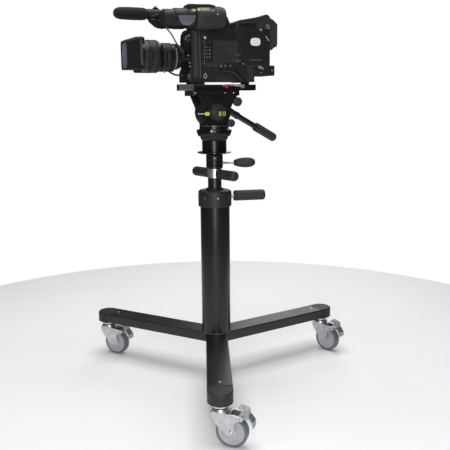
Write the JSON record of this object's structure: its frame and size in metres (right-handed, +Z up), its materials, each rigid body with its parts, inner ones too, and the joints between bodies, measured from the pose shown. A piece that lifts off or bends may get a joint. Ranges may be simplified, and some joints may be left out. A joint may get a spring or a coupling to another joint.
{
  "type": "camcorder on rolling pedestal",
  "caption": "Shoulder camcorder with zoom lens, microphone and viewfinder on a fluid head, telescoping column and tripod base with braked casters.",
  "frame": {"origin": "on the column's axis at floor level, where the axis meets the floor that the casters stand on", "axes": "+Z up along the column, lens looks along -Y, the camcorder's left side with its controls faces +X"},
  "size_m": [0.9854, 0.9345, 1.35],
  "materials": {
    "powder_black": "satin",
    "molded_black": "matte",
    "camera_plastic": "fine texture",
    "door_plastic": "fine texture",
    "gloss_black": "gloss",
    "anodised_black": "satin anodised",
    "grip_rubber": "matte",
    "ring_rubber": "ribbed",
    "foam": "open-cell foam",
    "zinc": "bright zinc",
    "chrome": "polished",
    "steel": "turned",
    "wheel_grey": "satin",
    "lens_glass": "coated",
    "red_button": "gloss",
    "circuit_board": "solder mask"
  },
  "bodies": {
    "base": {"leg_frame": "powder_black", "leg_end_caps": "molded_black", "frame_screws": "zinc", "column_tube": "powder_black", "column_cap": "molded_black", "caster_stems": "zinc", "gas_strut_cylinder": "steel"},
    "caster_front": {"caster_front_fork": "zinc"},
    "wheel_front": {"caster_front_wheel": "wheel_grey"},
    "brake_front": {"caster_front_brake": "zinc"},
    "caster_left": {"caster_left_fork": "zinc"},
    "wheel_left": {"caster_left_wheel": "wheel_grey"},
    "brake_left": {"caster_left_brake": "zinc"},
    "caster_right": {"caster_right_fork": "zinc"},
    "wheel_right": {"caster_right_wheel": "wheel_grey"},
    "brake_right": {"caster_right_brake": "zinc"},
    "height_lock": {"side_handle": "grip_rubber"},
    "ram": {"ram_tube": "anodised_black", "gas_strut_rod": "steel", "mount_collar": "anodised_black", "bowl": "gloss_black"},
    "t_handle": {"t_handle_hub": "chrome", "t_handle_grips": "grip_rubber"},
    "clamp_lever": {"clamp_lever": "grip_rubber"},
    "collar_knob": {"collar_knob": "molded_black"},
    "head_base": {"head_base": "anodised_black"},
    "pan_head": {"head_housing": "anodised_black", "tilt_axle": "steel"},
    "pan_lock": {"pan_lock_knob": "grip_rubber"},
    "tilt_cradle": {"tilt_cradle": "anodised_black"},
    "slide_lock": {"slide_lock_knob": "grip_rubber"},
    "pan_bar": {"pan_bar": "anodised_black", "pan_bar_grip": "grip_rubber"},
    "adapter_plate": {"adapter_plate": "anodised_black"},
    "release_button": {"release_button": "red_button"},
    "plate_lock_lever": {"plate_lock_lever": "steel"},
    "camcorder": {"camera_chassis": "camera_plastic", "side_cover": "camera_plastic", "shoulder_pad": "grip_rubber", "top_handle": "camera_plastic", "sensor_block": "circuit_board", "rear_box": "camera_plastic", "lens_barrel": "anodised_black", "lens_hood": "camera_plastic", "lens_glass": "lens_glass", "lens_drive": "camera_plastic", "microphone": "foam", "mic_holder": "anodised_black", "mic_cable": "grip_rubber", "lens_cable": "grip_rubber"},
    "audio_door": {"audio_door": "door_plastic"},
    "filter_knob": {"filter_knob": "molded_black"},
    "battery": {"battery": "camera_plastic"},
    "iris_ring": {"iris_ring": "ring_rubber"},
    "zoom_ring": {"zoom_ring": "ring_rubber"},
    "focus_ring": {"focus_ring": "ring_rubber"},
    "zoom_rocker": {"zoom_rocker": "grip_rubber"},
    "viewfinder_arm": {"viewfinder_arm": "anodised_black"},
    "viewfinder": {"viewfinder_body": "camera_plastic"},
    "eyecup": {"eyecup": "grip_rubber"}
  },
  "joints": [
    {"name": "caster_front_swivel", "type": "hinge", "parent": "base", "child": "caster_front", "pos_m": [0.48221, -0.16604, 0.12], "axis": [0, 0, 1], "continuous": true},
    {"name": "wheel_front_roll", "type": "hinge", "parent": "caster_front", "child": "wheel_front", "pos_m": [0.50561, -0.13609, 0.05], "axis": [-0.788, 0.6157, 0], "continuous": true},
    {"name": "brake_front_press", "type": "hinge", "parent": "caster_front", "child": "brake_front", "pos_m": [0.52285, -0.11403, 0.1], "axis": [-0.788, 0.6157, 0], "range_deg": [0, 15]},
    {"name": "caster_left_swivel", "type": "hinge", "parent": "base", "child": "caster_left", "pos_m": [-0.3849, -0.33459, 0.12], "axis": [0, 0, 1], "continuous": true},
    {"name": "wheel_left_roll", "type": "hinge", "parent": "caster_left", "child": "wheel_left", "pos_m": [-0.35757, -0.30819, 0.05], "axis": [-0.6947, 0.7193, 0], "continuous": true},
    {"name": "brake_left_press", "type": "hinge", "parent": "caster_left", "child": "brake_left", "pos_m": [-0.33742, -0.28874, 0.1], "axis": [-0.6947, 0.7193, 0], "range_deg": [0, 15]},
    {"name": "caster_right_swivel", "type": "hinge", "parent": "base", "child": "caster_right", "pos_m": [-0.09731, 0.50063, 0.12], "axis": [0, 0, 1], "continuous": true},
    {"name": "wheel_right_roll", "type": "hinge", "parent": "caster_right", "child": "wheel_right", "pos_m": [-0.06287, 0.51669, 0.05], "axis": [-0.4226, 0.9063, 0], "continuous": true},
    {"name": "brake_right_press", "type": "hinge", "parent": "caster_right", "child": "brake_right", "pos_m": [-0.0375, 0.52852, 0.1], "axis": [-0.4226, 0.9063, 0], "range_deg": [0, 15]},
    {"name": "height_lock_turn", "type": "hinge", "parent": "base", "child": "height_lock", "pos_m": [0, 0, 0.688], "axis": [0.1736, 0.9848, 0], "range_deg": [-90, 45]},
    {"name": "height", "type": "slide", "parent": "base", "child": "ram", "axis": [0, 0, 1], "range_m": [-0.02, 0.35]},
    {"name": "t_handle_turn", "type": "hinge", "parent": "ram", "child": "t_handle", "pos_m": [0, 0, 0.7705], "axis": [0, 0, 1], "range_deg": [-90, 90]},
    {"name": "clamp_lever_turn", "type": "hinge", "parent": "ram", "child": "clamp_lever", "pos_m": [0, 0, 0.808], "axis": [0, 0, 1], "range_deg": [-45, 45]},
    {"name": "collar_knob_turn", "type": "hinge", "parent": "ram", "child": "collar_knob", "pos_m": [0, 0, 0.829], "axis": [0.9455, -0.3256, 0], "range_deg": [-180, 90]},
    {"name": "bowl_level", "type": "hinge", "parent": "ram", "child": "head_base", "pos_m": [0, 0, 0.918], "axis": [1, 0, 0], "range_deg": [-5, 5]},
    {"name": "pan", "type": "hinge", "parent": "head_base", "child": "pan_head", "pos_m": [0, 0, 0.93], "axis": [0, 0, 1], "continuous": true},
    {"name": "pan_lock_turn", "type": "hinge", "parent": "pan_head", "child": "pan_lock", "pos_m": [0.053, 0.041, 0.951], "axis": [1, 0, 0], "range_deg": [-90, 90]},
    {"name": "tilt", "type": "hinge", "parent": "pan_head", "child": "tilt_cradle", "pos_m": [0, -0.005, 0.988], "axis": [1, 0, 0], "range_deg": [-35, 45]},
    {"name": "slide_lock_turn", "type": "hinge", "parent": "tilt_cradle", "child": "slide_lock", "pos_m": [0.053, 0.066, 1.024], "axis": [1, 0, 0], "range_deg": [-90, 90]},
    {"name": "pan_bar_rosette", "type": "hinge", "parent": "tilt_cradle", "child": "pan_bar", "pos_m": [-0.062, 0.05, 1.012], "axis": [1, 0, 0], "range_deg": [-45, 40]},
    {"name": "plate_slide", "type": "slide", "parent": "tilt_cradle", "child": "adapter_plate", "axis": [0, 1, 0], "range_m": [-0.03, 0.03]},
    {"name": "release_button_press", "type": "slide", "parent": "adapter_plate", "child": "release_button", "axis": [1, 0, 0], "range_m": [-0.004, 0], "stiffness_N_per_m": 400},
    {"name": "plate_lock_lever_turn", "type": "hinge", "parent": "adapter_plate", "child": "plate_lock_lever", "pos_m": [0.034, 0.096, 1.077], "axis": [1, 0, 0], "range_deg": [0, 11]},
    {"name": "camcorder_release", "type": "slide", "parent": "adapter_plate", "child": "camcorder", "axis": [0, 1, 0], "range_m": [0, 0.02]},
    {"name": "audio_door_open", "type": "hinge", "parent": "camcorder", "child": "audio_door", "pos_m": [0.064, 0.02, 1.1545], "axis": [0, 1, 0], "range_deg": [0, 100]},
    {"name": "filter_knob_turn", "type": "hinge", "parent": "camcorder", "child": "filter_knob", "pos_m": [0.038, -0.101, 1.23], "axis": [0, 1, 0], "range_deg": [-90, 180]},
    {"name": "battery_release", "type": "slide", "parent": "camcorder", "child": "battery", "axis": [0, 0, 1], "range_m": [0, 0.03]},
    {"name": "iris_ring_turn", "type": "hinge", "parent": "camcorder", "child": "iris_ring", "pos_m": [0, -0.142, 1.176], "axis": [0, 1, 0], "range_deg": [-40, 40]},
    {"name": "zoom_ring_turn", "type": "hinge", "parent": "camcorder", "child": "zoom_ring", "pos_m": [0, -0.173, 1.176], "axis": [0, 1, 0], "range_deg": [-45, 45]},
    {"name": "focus_ring_turn", "type": "hinge", "parent": "camcorder", "child": "focus_ring", "pos_m": [0, -0.222, 1.176], "axis": [0, 1, 0], "range_deg": [-90, 90]},
    {"name": "zoom_rocker_tip", "type": "hinge", "parent": "camcorder", "child": "zoom_rocker", "pos_m": [-0.08, -0.185, 1.196], "axis": [1, 0, 0], "range_deg": [-8, 8], "stiffness_Nm_per_rad": 0.3},
    {"name": "viewfinder_slide", "type": "slide", "parent": "camcorder", "child": "viewfinder_arm", "axis": [1, 0, 0], "range_m": [-0.004, 0.02]},
    {"name": "viewfinder_tilt", "type": "hinge", "parent": "viewfinder_arm", "child": "viewfinder", "pos_m": [0.062, -0.12, 1.292], "axis": [1, 0, 0], "range_deg": [0, 85]},
    {"name": "eyecup_flip", "type": "hinge", "parent": "viewfinder", "child": "eyecup", "pos_m": [0.096, -0.1014, 1.3355], "axis": [1, 0, 0], "range_deg": [0, 90]}
  ]
}
